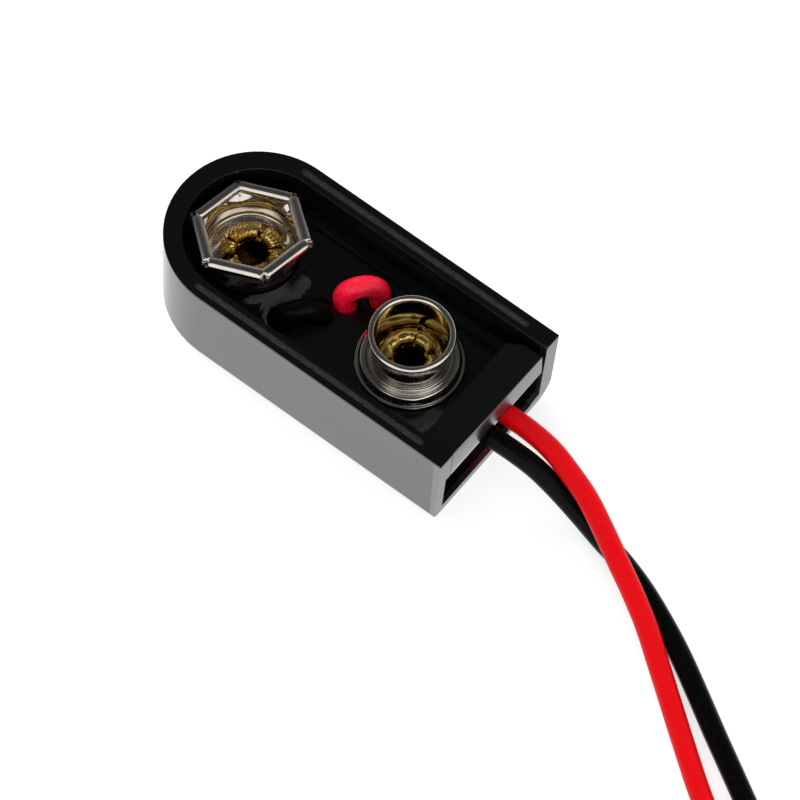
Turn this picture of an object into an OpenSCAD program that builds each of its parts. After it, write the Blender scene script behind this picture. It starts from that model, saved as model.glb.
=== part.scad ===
// Battery snap: a D-shaped moulded cup with a contact carrier, two riveted snap contacts and two leads.
// X runs along the part towards the leads, Y across it, Z up through the open side of the cup.
// The origin is under the middle of the cup, on the face that the part stands on.

/* [Shell] */
// Length of the cup, from its round end to its open wire end
shell_len = 25; // [23:0.5:32]
// Width of the cup, which is also twice the radius of its round end
shell_w = 12; // [11.5:0.1:16]
// Height of the rim
shell_h = 7.1; // [6.6:0.1:9]
// Thickness of the wall beside the contacts
wall = 1.2; // [0.9:0.05:1.4]
// Thickness of the wall beside the wire outlet, on the near side
outlet_wall_near = 0.8; // [0.6:0.05:1.1]
// Thickness of the wall beside the wire outlet, on the far side
outlet_wall_far = 1.2; // [0.9:0.05:1.4]
// Thickness of the floor
floor_t = 0.7; // [0.5:0.05:0.9]
// Width of the ledge that carries the contact carrier
ledge_w = 0.9; // [0.6:0.05:1.1]
// Length of the wire outlet, in from the end
outlet_len = 4; // [3:0.1:5]
// Radius of the lower outside edge
edge_r = 0.5; // [0.2:0.05:0.7]
// Radius of the lower outside edge on the far long side
far_edge_r = 1.5; // [0.8:0.1:1.6]
// How far the wire end slants in between rim and floor
end_slant = 0.23; // [0.05:0.01:0.4]
// Chamfer in the far lower corner of the outlet: width
chamfer_w = 1.4; // [0.8:0.1:2]
// Chamfer in the far lower corner of the outlet: height
chamfer_h = 0.3; // [0.1:0.05:0.5]
// Swaged groove on each long rim: width
groove_w = 0.45; // [0.3:0.05:0.6]
// Swaged groove: depth
groove_d = 0.15; // [0.05:0.05:0.3]
// Swaged groove: middle line, in from the outside face
groove_in = 0.65; // [0.5:0.05:0.8]
// Swaged groove: distance of its end from the wire end
groove_end = 2.1; // [1.5:0.1:4]

/* [Carrier] */
// Depth of the carrier's face below the rim
carrier_drop = 2.9; // [2.6:0.1:3.4]
// Thickness of the carrier plate
plate_t = 1; // [0.8:0.05:1.1]
// Gap between the carrier and the wall, each side
carrier_fit = 0.05; // [0.02:0.01:0.1]
// Raised border along the long sides: width
border_w = 0.85; // [0.5:0.05:0.9]
// Raised border: height
border_h = 0.25; // [0.1:0.05:0.4]
// Bridge over the leads: length of its foot
bridge_len = 2.85; // [2.4:0.05:3.4]
// Bridge: height above the carrier's face on the near side
bridge_h = 2.65; // [2.2:0.05:2.8]
// Bridge: how much lower its far side is
bridge_fall = 0.3; // [0:0.05:0.5]
// Bridge: how far the inner face leans back
bridge_lean = 0.55; // [0.2:0.05:0.8]
// Bridge: gap to the far wall at the foot
bridge_gap = 0.2; // [0.1:0.05:0.4]
// Bridge: extra gap to the far wall at the top
bridge_gap_top = 0.25; // [0:0.05:0.4]
// Bridge: how far its far side narrows towards the contacts
bridge_wedge = 0.85; // [0.4:0.05:1]
// How far the plate's side arms stop short of the wire end
arm_short = 1.3; // [1:0.1:1.6]
// Width of the opening under the bridge that the leads rise through
riser_w = 4.6; // [3.6:0.1:6]
// Clearance around each wire hole
hole_fit = 0.2; // [0.15:0.05:0.25]
// Extra room towards each other for the holes of the low loop
low_loop_room = 0.1; // [0.08:0.01:0.15]

/* [Snap contacts] */
// Distance between the two contacts
snap_pitch = 12.7; // [12.6:0.05:12.8]
// Distance of the hexagonal contact from the round end
hex_in = 5.36; // [5.2:0.02:5.8]
// Sheet thickness of the contacts
sheet_t = 0.25; // [0.2:0.01:0.3]
// Hexagonal contact: outer radius at the corners
hex_r = 4.1; // [3.8:0.05:4.15]
// Hexagonal contact: outer diameter of the rolled edge
roll_d = 0.8; // [0.55:0.05:0.85]
// Hexagonal contact: how far each rolled edge stops short of its corners
roll_short = 0.12; // [0.05:0.01:0.2]
// Hexagonal contact: height of the rolled edge's top above the carrier
hex_h = 3; // [2.6:0.1:3.4]
// Hexagonal contact: outer radius of the round foot
hex_foot_r = 3.1; // [2.9:0.05:3.2]
// Hexagonal contact: how deep its foot is sunk in the carrier
hex_sink = 0.4; // [0.2:0.05:0.5]
// Width of the slits between the petals, at the top
slit_top_w = 0.35; // [0.3:0.05:0.7]
// Width of the slits between the petals, at the foot
slit_foot_w = 0.12; // [0.08:0.02:0.3]
// Height of the solid cup below the slits
slit_from = 1.15; // [0.9:0.05:1.5]
// Hexagonal contact: turn of its corners about its own axis, in degrees
hex_turn = 21.3; // [0:0.1:60]
// Hexagonal contact: how its formed edge rises towards the wire end, in degrees
hex_rise_x = 6; // [-6:0.5:6]
// Hexagonal contact: how its formed edge rises towards the far side, in degrees
hex_rise_y = -4; // [-6:0.5:6]
// Stud contact: outer radius of the lip
stud_r = 2.76; // [2.7:0.02:2.86]
// Stud contact: diameter of the rolled lip
lip_d = 0.44; // [0.36:0.02:0.5]
// Stud contact: height of the lip's top above the carrier
stud_h = 3.75; // [3.3:0.05:4.2]
// Stud contact: outer radius at the waist
waist_r = 2.42; // [2.3:0.02:2.5]
// Stud contact: outer radius of the folded flange
flange_r = 3.5; // [3.2:0.05:3.7]
// Stud contact: thickness of the folded flange
flange_t = 0.56; // [0.5:0.02:0.7]
// Stud contact: height of the flange's middle above the carrier
flange_z = 0.6; // [0.5:0.02:0.8]

/* [Rivets and tags] */
// Outer diameter of the tubular rivets
rivet_d = 2.4; // [2.2:0.05:2.6]
// Wall of the rivets
rivet_wall = 0.26; // [0.2:0.01:0.3]
// Gap around the rivets in the holes that they pass through
rivet_fit = 0.05; // [0.02:0.01:0.1]
// Extra clearance around the rivet in the hexagonal contact
rivet_float = 0.2; // [0.2:0.05:0.4]
// How far the rivet sits off the middle of the hexagonal contact
rivet_shift = 0.19; // [0:0.01:0.2]
// Diameter of the rivet heads
head_d = 4; // [3.4:0.1:4.2]
// Thickness of the rivet heads
head_t = 0.3; // [0.2:0.05:0.35]
// Outer diameter of the burst petals in the hexagonal contact
burst_hex_d = 4.4; // [4:0.1:4.6]
// Outer diameter of the burst petals in the stud contact
burst_stud_d = 3.9; // [3.6:0.1:4.1]
// How far the curls of those petals stand above their tips
burst_rise = 0.25; // [0:0.05:0.35]
// Thickness of the solder tags
tag_t = 0.3; // [0.2:0.05:0.35]
// Outer diameter of the ring of each solder tag
tag_d = 4.4; // [4.2:0.1:4.8]
// Width of the tail of each solder tag
tail_w = 1.6; // [1.2:0.1:1.8]

/* [Leads] */
// Outer diameter of the insulation
lead_d = 1.4; // [1.2:0.05:1.5]
// Diameter of the twisted and tinned conductor
core_d = 0.8; // [0.6:0.05:0.9]
// Length of the stripped end
strip_len = 5; // [4:0.5:6]
// Distance of the red lead from the middle line where it leaves
red_out_y = 1.2; // [1:0.05:1.4]
// Distance of the black lead from the middle line where it leaves
black_out_y = -0.65; // [-0.9:0.05:-0.6]
// Height of the top of the red loop above the carrier
red_loop_h = 2.9; // [2.4:0.1:3.2]
// Height of the top of the black loop above the carrier
black_loop_h = 1.45; // [1.2:0.05:1.8]
// Inner radius of the coiled spare length
coil_in_r = 5.4; // [5.3:0.1:5.6]
// Outer radius of the coiled spare length
coil_out_r = 9.7; // [9.7:0.1:10.5]
// Thickness of the tie around the coils
tie_t = 0.2; // [0.1:0.05:0.3]
// Width of the tie
tie_w = 2; // [1.5:0.1:3]

/* [Hidden] */
$fn = 64;
eps = 0.01;
wire_sides = 16;
bend_step = 15;

// Places worked out from the sizes above
end_x = shell_len / 2;
round_x = -end_x + shell_w / 2;
inner_r = shell_w / 2 - wall;
carrier_z = shell_h - carrier_drop;
plate_z = carrier_z - plate_t;
bridge_x = end_x - bridge_len;
arm_x = end_x - arm_short;
hex_x = -end_x + hex_in;
stud_x = hex_x + snap_pitch;
hex_rivet_x = hex_x + rivet_shift;
lead_r = lead_d / 2;
core_r = core_d / 2;
rivet_r = rivet_d / 2;
tag_z = plate_z - tag_t;
head_z = tag_z - head_t;
out_z = carrier_z - lead_r - 0.02;
floor_run_z = floor_t + lead_r + 0.05;
joint_z = min(plate_z - lead_r, tag_z - core_r) - 0.02;

// Where the inner wires rise to the outlet, and the front edge of the opening that they rise through
rise_x = [end_x - 3.9, end_x - 1.1];
rise_slope = (out_z - floor_run_z) / (rise_x[1] - rise_x[0]);
rise_top_z = floor_run_z + lead_r * sqrt(1 + rise_slope * rise_slope);
riser_x = min(bridge_x + 0.05, rise_x[0] + (plate_z - 0.05 - rise_top_z) / rise_slope);

// Feet of the two wire loops, placed from the stud and from the socket, and the joints under the carrier
red_feet = [[stud_x - 5.7, 0.88], [stud_x - 4.11, 2.4]];
black_feet = [[hex_x + 6.24, -0.64], [hex_x + 4.56, -2.64]];
red_joint_x = red_feet[0][0] - 2;
black_joint_x = black_feet[0][0] + 1.56;
joint_len = 2.2;

// Colours, as the photograph shows them
shell_colour = [0.05, 0.05, 0.055];
carrier_colour = [0.08, 0.08, 0.085];
nickel_colour = [0.78, 0.75, 0.7];
brass_colour = [0.75, 0.58, 0.25];
tin_colour = [0.7, 0.7, 0.72];
red_colour = [0.85, 0.03, 0.06];
black_colour = [0.07, 0.07, 0.07];
tie_colour = [0.12, 0.12, 0.13];

// D outline: a round end of radius r about the cup's round end, and straight sides on to x_end
module d_outline(r, x_end) {
    translate([round_x, 0]) circle(r);
    translate([round_x, -r]) square([x_end - round_x, 2 * r]);
}

// Extrudes a section drawn in Y and Z along X
module along_x(x0, x1) {
    translate([x0, 0, 0]) rotate([90, 0, 90]) linear_extrude(x1 - x0) children();
}

// Extrudes a section drawn in X and Z along Y
module along_y(y0, y1) {
    translate([0, y1, 0]) rotate([90, 0, 0]) linear_extrude(y1 - y0) children();
}

// What the slanted wire end takes off, from the shell and the carrier alike
module end_trim() {
    along_y(-shell_w, shell_w)
        polygon([[end_x, shell_h], [end_x - end_slant, 0], [end_x - end_slant, -1], [end_x + 2, -1],
                 [end_x + 2, shell_h]]);
}

// Corner left outside a rounded edge of radius r, with the sharp corner at the origin
module edge_waste(r) {
    difference() {
        translate([-r, -eps]) square([r + eps, r + eps]);
        translate([-r, r]) circle(r);
    }
}

// Half section of the outside: straight wall and rounded lower edge
module outside_half() {
    difference() {
        square([shell_w / 2, shell_h]);
        translate([shell_w / 2, 0]) edge_waste(edge_r);
    }
}

module outside() {
    translate([round_x, 0, 0]) rotate([0, 0, 90]) rotate_extrude(angle = 180) outside_half();
    along_x(round_x, end_x) {
        outside_half();
        mirror([1, 0]) outside_half();
    }
}

// Larger rounding of the far lower edge, which runs out before the round end
module far_edge() {
    start_x = round_x + 4;
    slope = 24;
    translate([0, shell_w / 2, 0]) {
        along_x(start_x, end_x + 1) edge_waste(far_edge_r);
        translate([start_x, 0, 0]) rotate([0, 0, -slope]) along_x(-5, 0) edge_waste(far_edge_r);
    }
}

// Section of the wire outlet below the carrier's face
module outlet_section() {
    y0 = -shell_w / 2 + outlet_wall_near;
    y1 = shell_w / 2 - outlet_wall_far;
    polygon([[y0, floor_t], [y1 - chamfer_w, floor_t], [y1, floor_t + chamfer_h],
             [y1, carrier_z], [y0, carrier_z]]);
}

// Long groove with round ends on the rim of one side
module groove() {
    x0 = round_x - 0.6;
    x1 = end_x - groove_end;
    translate([0, shell_w / 2 - groove_in, shell_h - groove_d]) linear_extrude(groove_d + 1) {
        translate([x0, 0]) circle(d = groove_w);
        translate([x1, 0]) circle(d = groove_w);
        translate([x0, -groove_w / 2]) square([x1 - x0, groove_w]);
    }
}

module shell() {
    color(shell_colour) difference() {
        outside();
        far_edge();
        translate([0, 0, plate_z]) linear_extrude(shell_h) d_outline(inner_r, end_x + 1);
        translate([0, 0, floor_t]) linear_extrude(shell_h) d_outline(inner_r - ledge_w, end_x + 1);
        along_x(end_x - outlet_len, end_x + 1) outlet_section();
        groove();
        mirror([0, 1, 0]) groove();
        end_trim();
    }
}

// Block over the leads: its section along the part, cut by its section across and by its outline
module bridge() {
    top_z = carrier_z + bridge_h;
    foot_y = inner_r - bridge_gap;
    near_y = -inner_r + carrier_fit;
    far_top_y = foot_y - bridge_gap_top;
    wedge_y = foot_y - bridge_wedge;
    round_r = 0.2;
    intersection() {
        along_y(-inner_r, inner_r) difference() {
            polygon([[bridge_x, carrier_z - eps], [bridge_x + bridge_lean, top_z], [end_x, top_z],
                     [end_x, carrier_z], [arm_x, carrier_z], [arm_x, carrier_z - eps]]);
            translate([end_x, top_z]) mirror([0, 1]) edge_waste(round_r);
        }
        along_x(bridge_x - 1, end_x)
            polygon([[near_y, carrier_z - 1], [foot_y, carrier_z - 1], [foot_y, carrier_z],
                     [far_top_y, top_z - bridge_fall], [near_y, top_z]]);
        linear_extrude(shell_h) polygon([[bridge_x - 1, near_y], [end_x, near_y], [end_x, foot_y],
            [end_x - 1, foot_y], [bridge_x + bridge_lean, wedge_y], [bridge_x - 1, wedge_y]]);
    }
}

// Plate with its side arms, and the riser that lets the leads come up under the bridge
module plate() {
    r = inner_r - carrier_fit;
    slope = 0.9;
    difference() {
        translate([0, 0, plate_z]) linear_extrude(plate_t) d_outline(r, arm_x);
        along_y(-riser_w / 2, riser_w / 2)
            polygon([[riser_x, plate_z - 1], [riser_x, plate_z], [riser_x + slope, carrier_z],
                     [end_x + 1, carrier_z], [end_x + 1, plate_z - 1]]);
    }
}

module border() {
    x0 = round_x + 0.5;
    x1 = bridge_x + 0.4;
    translate([x0, inner_r - carrier_fit - border_w, carrier_z - eps])
        cube([x1 - x0, border_w, border_h + eps]);
}

// Holes at the feet of a loop, drawn together and widened by room where the loop is low
module wire_holes(feet, room) {
    middle = (feet[0] + feet[1]) / 2;
    for (foot = feet) {
        at = foot + unit(middle - foot) * room;
        translate([at[0], at[1], plate_z - 1]) cylinder(r = lead_r + hole_fit + room, h = plate_t + 2);
    }
}

module carrier() {
    color(carrier_colour) difference() {
        union() {
            plate();
            border();
            mirror([0, 1, 0]) border();
            bridge();
        }
        translate([hex_x, 0, carrier_z - hex_sink]) cylinder(r = hex_foot_r + 0.1, h = plate_t);
        for (x = [hex_rivet_x, stud_x])
            translate([x, 0, plate_z - 1]) cylinder(r = rivet_r + rivet_fit, h = plate_t + 2);
        wire_holes(red_feet, 0);
        wire_holes(black_feet, low_loop_room);
        end_trim();
    }
}

// Section of one petal, from the axis outwards: a leaning panel with its edge rolled inwards
module petal_section() {
    roll_r = roll_d / 2;
    roll_a = hex_r * cos(30) - roll_r;
    roll_z = hex_h - roll_r;
    foot_a = hex_foot_r - 0.05;
    foot_z = 0.3;
    difference() {
        union() {
            translate([roll_a, roll_z]) circle(roll_r);
            polygon([[foot_a, foot_z], [roll_a + roll_r, roll_z], [roll_a + roll_r - sheet_t, roll_z],
                     [foot_a - sheet_t, foot_z]]);
        }
        translate([roll_a, roll_z]) circle(roll_r - 0.18);
    }
}

// Petal number k in its place: its rolled edge lies in the plane of the whole leaning edge
module petal(k) {
    half_side = hex_r / 2 - roll_short;
    wedge = 30.5; // a little over half of 60, so that neighbours join below the slits
    at = 60 * k + 30 + hex_turn;
    outwards = tan(hex_rise_x) * cos(at) + tan(hex_rise_y) * sin(at);
    sideways = tan(hex_rise_y) * cos(at) - tan(hex_rise_x) * sin(at);
    roll_z = hex_h - roll_d / 2;
    rotate([0, 0, 60 * k + 30]) intersection() {
        translate([0, 0, roll_z + outwards * hex_r * cos(30)]) rotate([atan(sideways), 0, 0])
            translate([0, 0, -roll_z]) along_y(-half_side, half_side) petal_section();
        linear_extrude(2 * hex_h) polygon([[0, 0], [hex_r, -hex_r * tan(wedge)], [hex_r, hex_r * tan(wedge)]]);
    }
}

// Envelope that draws the six flat petals in to the round foot
module cup_envelope() {
    top_z = hex_h + 1;
    rotate_extrude() polygon([[0, 0], [hex_foot_r, 0], [hex_foot_r + 0.12, 0.6], [hex_r - 0.25, 1.5],
                              [hex_r + 0.2, 2], [hex_r + 0.2, top_z], [0, top_z]]);
}

// Round foot of the hexagonal contact: a dished sheet with a hole for the rivet
module cup_foot() {
    z0 = -hex_sink;
    rotate_extrude() difference() {
        polygon([[0, z0], [hex_foot_r - 0.3, z0], [hex_foot_r, z0 + 0.3], [hex_foot_r, 0.3],
                 [hex_foot_r + 0.25, slit_from], [hex_foot_r + 0.25 - sheet_t, slit_from],
                 [hex_foot_r - sheet_t, 0.3], [hex_foot_r - sheet_t, z0 + 0.4],
                 [hex_foot_r - 0.4, z0 + sheet_t], [0, z0 + sheet_t]]);
        translate([0, z0 - 1]) square([rivet_r + rivet_float, 2]);
    }
}

// Slit between two petals, narrow at the foot and wide at the top
module slit() {
    rotate([90, 0, 90]) linear_extrude(hex_r + 1)
        polygon([[-slit_foot_w / 2, slit_from - 0.35], [slit_foot_w / 2, slit_from - 0.35],
                 [slit_top_w / 2, hex_h + 1], [-slit_top_w / 2, hex_h + 1]]);
}

module hex_contact() {
    color(nickel_colour) translate([hex_x, 0, carrier_z]) rotate([0, 0, hex_turn]) {
        cup_foot();
        difference() {
            intersection() {
                for (k = [0:5])
                    petal(k);
                cup_envelope();
            }
            for (k = [0:5])
                rotate([0, 0, 60 * k]) slit();
        }
    }
}

// Section of the stud: base, folded flange, waisted wall and rolled lip, from one drawn sheet
module stud_section() {
    lip_r = lip_d / 2;
    bead_r = flange_t / 2;
    t = sheet_t;
    lip = [stud_r - lip_r, stud_h - lip_r];
    bead = [flange_r - bead_r, flange_z];
    translate(lip) circle(lip_r);
    translate(bead) circle(bead_r);
    polygon([
        [rivet_r + rivet_fit, 0], [waist_r + 0.1, 0], [bead[0] - 0.1, bead[1] - bead_r],
        [bead[0], bead[1] - bead_r], [bead[0], bead[1] + bead_r], [waist_r + 0.35, bead[1] + bead_r + 0.02],
        [waist_r + 0.12, bead[1] + bead_r + 0.22], [waist_r, stud_h * 0.5], [waist_r + 0.03, stud_h * 0.66],
        [lip[0] + lip_r * 0.7, lip[1] - lip_r * 0.7], [lip[0], lip[1]],
        [lip[0] - lip_r * 0.8, lip[1] - lip_r * 0.6],
        [waist_r + 0.03 - t, stud_h * 0.62], [waist_r - t, stud_h * 0.48], [waist_r - t, t + 0.15],
        [waist_r - t - 0.15, t], [rivet_r + rivet_fit, t]
    ]);
}

module stud_contact() {
    color(nickel_colour) translate([stud_x, 0, carrier_z]) rotate_extrude() stud_section();
}

// Tubular rivet: head below, barrel, and an upper end burst into petals that curl down onto top_z,
// from a middle that stands higher by rise
module rivet(top_z, rise, burst_d, cuts) {
    mid_r = rivet_r - rivet_wall / 2;
    curl_r = (burst_d / 2 - rivet_wall / 2 - mid_r) / 2;
    curl_z = top_z + 0.02 + rise;
    difference() {
        rotate_extrude() {
            translate([rivet_r - rivet_wall, head_z]) square([head_d / 2 - rivet_r + rivet_wall, head_t]);
            translate([rivet_r - rivet_wall, head_z]) square([rivet_wall, curl_z - head_z]);
            translate([mid_r + curl_r, curl_z]) intersection() {
                difference() {
                    circle(curl_r + rivet_wall / 2);
                    circle(curl_r - rivet_wall / 2);
                }
                union() {
                    translate([-2, -eps]) square([4, 4]);
                    translate([0, -rise]) square([4, 4]);
                }
            }
        }
        for (cut = cuts)
            rotate([0, 0, cut[0]]) translate([0, 0, top_z + 0.12]) linear_extrude(3)
                polygon([[0, 0], burst_d * [1, -tan(cut[1] / 2)], burst_d * [1, tan(cut[1] / 2)]]);
    }
}

// Each cut between petals: its direction and its angle
hex_cuts = [[75, 16], [150, 22], [215, 14], [285, 20], [0, 18]];
stud_cuts = [[48, 26], [118, 16], [232, 18], [300, 22]];

module hex_rivet() {
    color(brass_colour) translate([hex_rivet_x, 0, 0])
        rivet(carrier_z - hex_sink + sheet_t, 0, burst_hex_d, hex_cuts);
}

module stud_rivet() {
    color(brass_colour) translate([stud_x, 0, 0])
        rivet(carrier_z + sheet_t, burst_rise, burst_stud_d, stud_cuts);
}

// Solder tag: a ring under the carrier with a tail along X, from the rivet to tail_x on the line y
module tag(rivet_x, tail_x, y) {
    tail = tail_w / 2;
    x0 = min(rivet_x, tail_x);
    x1 = max(rivet_x, tail_x);
    translate([0, 0, tag_z]) linear_extrude(tag_t) difference() {
        union() {
            translate([rivet_x, 0]) circle(d = tag_d);
            translate([tail_x, y]) circle(tail);
            translate([x0, y - tail]) square([x1 - x0, tail_w]);
        }
        translate([rivet_x, 0]) circle(rivet_r + rivet_fit);
    }
}

module hex_tag() {
    color(tin_colour) tag(hex_rivet_x, red_joint_x - 1.2, red_feet[0][1]);
}

module stud_tag() {
    color(tin_colour) tag(stud_x, black_joint_x + 1.2, black_feet[0][1]);
}

function unit(v) = v / norm(v);
function turn(a, b, c) = acos(max(-1, min(1, unit(b - a) * unit(c - b))));
function reach(route, i) =
    i <= 0 || i >= len(route) - 1 ? 0
    : route[i][3] * tan(turn(xyz(route[i - 1]), xyz(route[i]), xyz(route[i + 1])) / 2);
function xyz(p) = [p[0], p[1], p[2]];

// v turned by an angle about a unit axis
function turned(v, axis, angle) =
    v * cos(angle) + cross(axis, v) * sin(angle) + axis * (axis * v) * (1 - cos(angle));

// Rings of a round wire along straight runs joined by true bends, as [middle, sideways, forwards]:
// each corner of the route is [x, y, z, bend radius]
function bend_rings(route, i, side) =
    let (
        a = xyz(route[i - 1]),
        b = xyz(route[i]),
        d0 = unit(b - a)
    )
    i == len(route) - 1 ? [[b, side, d0]]
    : let (
        c = xyz(route[i + 1]),
        d1 = unit(c - b),
        angle = turn(a, b, c),
        axis = unit(cross(d0, d1)),
        in = unit(d1 - d0 * (d0 * d1)) * route[i][3],
        start = b - d0 * reach(route, i),
        joined = i > 1 && norm(b - a) - reach(route, i - 1) - reach(route, i) < 0.002,
        steps = ceil(angle / bend_step)
    )
    concat(
        [for (j = [joined ? 1 : 0:steps])
            let (at = angle * j / steps)
            [start + in - turned(in, axis, at), turned(side, axis, at), turned(d0, axis, at)]],
        bend_rings(route, i + 1, turned(side, axis, angle))
    );

// Closed tube over rings of points, all with as many points
module skin(rings) {
    n = len(rings[0]);
    last = len(rings) - 1;
    points = [for (r = rings) each r];
    walls = [for (i = [0:last - 1], k = [0:n - 1])
        [n * i + k, n * i + n + k, n * i + n + (k + 1) % n, n * i + (k + 1) % n]];
    polyhedron(points, concat([[for (k = [0:n - 1]) k]], [[for (k = [n - 1:-1:0]) n * last + k]], walls));
}

module bent_wire(route, r) {
    d = unit(xyz(route[1]) - xyz(route[0]));
    side = unit(cross([0, 0, 1], d));
    frames = concat([[xyz(route[0]), side, d]], bend_rings(route, 1, side));
    skin([for (f = frames)
        [for (k = [0:wire_sides - 1])
            f[0] + r * (cos(360 * k / wire_sides) * f[1] + sin(360 * k / wire_sides) * cross(f[2], f[1]))]]);
}

// Runs of the insulated wires inside, from the solder joint to the outlet: corner points with bend radii
red_apex_z = carrier_z + red_loop_h - lead_r;
black_apex_z = carrier_z + black_loop_h - lead_r;
red_bend = norm(red_feet[1] - red_feet[0]) / 2;
black_bend = 1.15;
function rise(y) = [[end_x - 5.9, y, floor_run_z, 3], [rise_x[0], y, floor_run_z, 2.8],
                    [rise_x[1], y, out_z, 2.8], [end_x, y, out_z, 0]];
function loop_run(feet, joint_x, apex_z, bend, y) = concat(
    [[joint_x, feet[0][1], joint_z, 0], [feet[0][0], feet[0][1], joint_z, 0.9],
     [feet[0][0], feet[0][1], apex_z, bend], [feet[1][0], feet[1][1], apex_z, bend],
     [feet[1][0], feet[1][1], floor_run_z, 1.2], [rise_x[0] - 5.2, feet[1][1], floor_run_z, 3]], rise(y));

module red_inner_wire() {
    color(red_colour) bent_wire(loop_run(red_feet, red_joint_x, red_apex_z, red_bend, red_out_y), lead_r);
}

module black_inner_wire() {
    color(black_colour)
        bent_wire(loop_run(black_feet, black_joint_x, black_apex_z, black_bend, black_out_y), lead_r);
}

// Stripped conductor under the tag, from the insulation's end towards the rivet
module bare_end(x, y, way) {
    translate([x, y, joint_z]) rotate([0, 90 * way, 0]) cylinder(r = core_r, h = joint_len);
}

module red_bare_end() {
    color(tin_colour) bare_end(red_joint_x, red_feet[0][1], -1);
}

module black_bare_end() {
    color(tin_colour) bare_end(black_joint_x, black_feet[0][1], 1);
}

// Solder fillet: a spindle around the conductor, flat where it wets the tag above
module solder(x, y, way) {
    len = joint_len - 0.7;
    difference() {
        translate([x, y, joint_z]) rotate([0, 90 * way, 0]) translate([0, 0, 0.5]) rotate_extrude()
            polygon([[core_r, 0], [core_r + 0.1, 0], [core_r + 0.3, len * 0.3], [core_r + 0.3, len * 0.6],
                     [core_r + 0.1, len], [core_r, len]]);
        translate([x - 4, y - 2, tag_z]) cube([8, 4, 2]);
    }
}

module red_solder() {
    color(tin_colour) solder(red_joint_x, red_feet[0][1], -1);
}

module black_solder() {
    color(tin_colour) solder(black_joint_x, black_feet[0][1], 1);
}

// Routes of the free leads, as points on their middle lines, from the outlet to the coils
red_route = [
    [14.2, 1.2, 3.44], [16, 1.05, 3.25], [17.8, 0.6, 2.95], [19.6, 0, 2.65], [21.6, -1, 2.35],
    [23.5, -2.05, 2.1], [25.45, -3.1, 1.8], [27.4, -4.25, 1.42], [29.4, -5.65, 0.98], [31.7, -7.35, 0.74],
    [34, -9.1, 0.7], [36.5, -10.95, 0.7], [39, -12.6, 0.8], [41.4, -13.85, 1.2], [43.8, -14.88, 1.85]
];
black_route = [
    [14.1, -0.5, 3.23], [15.8, -0.3, 2.62], [17.6, -0.25, 1.72], [19.5, -0.45, 1.05],
    [21.4, -0.85, 0.75], [23.4, -1.3, 0.7], [25.6, -2.05, 0.7], [27.8, -3.05, 0.7], [30, -4.2, 0.7],
    [32.4, -5.65, 0.7], [34.8, -7.15, 0.7], [37.2, -8.6, 0.7], [39.6, -10.05, 0.7], [42.2, -11.55, 0.78]
];
coil_at = [54.5, -9.5];
outer_turn = 9;
inner_turn = 6.1;
red_enter = -112;
black_enter = -130;
red_coil_z = tie_t + lead_d;
black_coil_z = tie_t;
stub_len = 5.2;
tail_turn = 3.4;
tail_angle = 100;
red_leave = 200;
black_leave = 245;

// Where a lead enters its coil, and its direction there
function stub_start(enter, z) =
    [coil_at[0], coil_at[1], z + lead_r] + (outer_turn - 0.01) * [cos(enter), sin(enter), 0]
    - stub_len * stub_way(enter);
function stub_way(enter) = [-sin(enter), cos(enter), 0];

// Ring of 8 points on a route that starts along X and ends along the direction last_way
function ring(route, i, last_way) =
    let (
        last = len(route) - 1,
        d = i == 0 ? [1, 0, 0] : i == last ? last_way : unit(route[i + 1] - route[i - 1]),
        side = unit(cross([0, 0, 1], d)),
        up = cross(d, side)
    )
    [for (k = [0:7]) route[i] + lead_r * (cos(45 * k) * side + sin(45 * k) * up)];

// Free lead from the outlet, by its route, to the stub of its coil
module lead_tube(y, route, enter, z) {
    whole = concat([[end_x, y, out_z]], route, [stub_start(enter, z)]);
    skin([for (i = [0:len(whole) - 1]) ring(whole, i, stub_way(enter))]);
}

module red_lead() {
    color(red_colour) lead_tube(red_out_y, red_route, red_enter, red_coil_z);
}

module black_lead() {
    color(black_colour) lead_tube(black_out_y, black_route, black_enter, black_coil_z);
}

// Coil of spare lead: a ring, the stub where the lead enters it and the inner tail that ends in the tip
module coil(enter, leave, z) {
    translate([coil_at[0], coil_at[1], z]) linear_extrude(lead_d) {
        difference() {
            circle(coil_out_r);
            circle(coil_in_r);
        }
        rotate(enter) translate([outer_turn - lead_r, -stub_len]) square([lead_d - 0.02, stub_len]);
        rotate(leave) translate([inner_turn - tail_turn, 0]) intersection() {
            difference() {
                circle(tail_turn + lead_r - 0.02);
                circle(tail_turn - lead_r);
            }
            polygon([[0, 0], [9, 0], [9, 9], [0, 9], [9 * cos(tail_angle), 9 * sin(tail_angle)]]);
        }
    }
}

// Stripped, twisted and tinned far end
module tip(leave, z) {
    translate([coil_at[0], coil_at[1], z + lead_r]) rotate([0, 0, leave])
        translate([inner_turn - tail_turn, 0, 0]) rotate([0, 0, tail_angle])
            translate([tail_turn, 0, 0]) rotate([-90, 0, 0]) cylinder(r = core_r, h = strip_len);
}

module red_coil() {
    color(red_colour) coil(red_enter, red_leave, red_coil_z);
}

module black_coil() {
    color(black_colour) coil(black_enter, black_leave, black_coil_z);
}

module red_tip() {
    color(tin_colour) tip(red_leave, red_coil_z);
}

module black_tip() {
    color(tin_colour) tip(black_leave, black_coil_z);
}

// Flat tie around both coils
module lead_tie() {
    gap = 0.1;
    inner = [coil_out_r - coil_in_r + 2 * gap, 2 * lead_d];
    color(tie_colour) translate([coil_at[0], coil_at[1], 0]) rotate([0, 0, 75])
        along_y(-tie_w / 2, tie_w / 2) translate([coil_in_r - gap, tie_t]) difference() {
            translate([-tie_t, -tie_t]) square([inner[0] + 2 * tie_t, inner[1] + 2 * tie_t]);
            square(inner);
        }
}

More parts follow.
